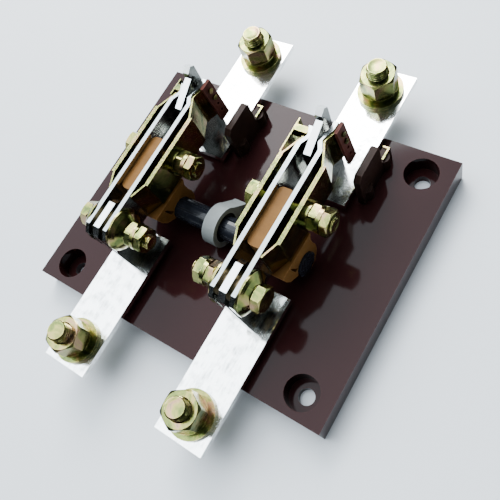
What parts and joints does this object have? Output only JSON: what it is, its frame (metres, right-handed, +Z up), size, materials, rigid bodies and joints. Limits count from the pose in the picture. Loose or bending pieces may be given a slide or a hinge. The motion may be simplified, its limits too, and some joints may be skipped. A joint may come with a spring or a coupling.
{
  "type": "knife blade switch",
  "caption": "Open knife blade switch: twin blades in each pole hinge on jaws and close on contact jaws, joined by a cross shaft with a drive link, on a moulded base.",
  "frame": {"origin": "middle of the underside of the base board", "axes": "+X across the poles towards the second pole, +Y from the hinge end to the contact end, +Z up from the mounting surface"},
  "size_m": [0.2, 0.236, 0.076],
  "materials": {
    "moulded_base": "glossy moulded phenolic, very dark red-brown",
    "fibre_spacer": "dull fibre",
    "plated_bar": "bright tin plate with fine scratches",
    "plated_jaw": "bright tin plate",
    "plated_blade": "bright tin plate, drawn edges",
    "washer_bronze": "plain bronze",
    "carrier_phenolic": "orange-brown moulded phenolic, half gloss",
    "barrier_phenolic": "near-black brown moulded phenolic",
    "strip_phenolic": "red-brown laminate",
    "spring_zinc": "yellow iridescent zinc on spring sheet",
    "bolt_zinc": "yellow-green iridescent zinc",
    "shaft_black": "black moulded sleeve with shallow grooves",
    "bush_black": "black, dull",
    "link_nylon": "grey-white nylon"
  },
  "bodies": {
    "base": {"base_board": "moulded_base", "bar_standoffs": "fibre_spacer", "bar_screws": "bolt_zinc", "front_bar_1": "plated_bar", "front_bar_2": "plated_bar", "rear_bar_1": "plated_bar", "rear_bar_2": "plated_bar", "terminal_bolts": "bolt_zinc", "terminal_washers": "bolt_zinc", "terminal_lock_washers": "bolt_zinc", "terminal_nuts": "bolt_zinc", "hinge_jaw_1": "plated_jaw", "hinge_jaw_2": "plated_jaw", "contact_jaw_1": "plated_jaw", "contact_jaw_2": "plated_jaw", "pivot_bolt_1": "bolt_zinc", "pivot_bolt_2": "bolt_zinc", "contact_washers": "washer_bronze", "cup_washers": "spring_zinc", "pivot_nuts": "bolt_zinc", "pivot_lock_washers": "bolt_zinc", "barrier_1": "barrier_phenolic", "barrier_2": "barrier_phenolic", "barrier_clips": "bolt_zinc", "barrier_screws": "bolt_zinc"},
    "blades": {"left_blade_1": "plated_blade", "right_blade_1": "plated_blade", "left_blade_2": "plated_blade", "right_blade_2": "plated_blade", "blade_carrier_1": "carrier_phenolic", "blade_carrier_2": "carrier_phenolic", "inner_leaf_springs": "spring_zinc", "outer_leaf_springs": "spring_zinc", "clamp_bolts": "bolt_zinc", "clamp_washers": "bolt_zinc", "clamp_nuts": "bolt_zinc", "tip_plates": "spring_zinc", "side_plate_1": "spring_zinc", "side_plate_2": "spring_zinc", "arc_strips": "strip_phenolic", "arc_rivets": "bolt_zinc", "cross_shaft": "shaft_black", "shaft_pins": "bolt_zinc"},
    "link": {"drive_link": "link_nylon", "link_bush": "bush_black"}
  },
  "joints": [
    {"name": "blade_hinge", "type": "hinge", "parent": "base", "child": "blades", "pos_m": [0, -0.0398, 0.054], "axis": [1, 0, 0], "range_deg": [0, 90]},
    {"name": "link_swivel", "type": "hinge", "parent": "blades", "child": "link", "pos_m": [0, -0.009, 0.0284], "axis": [1, 0, 0], "range_deg": [0, 230]}
  ]
}
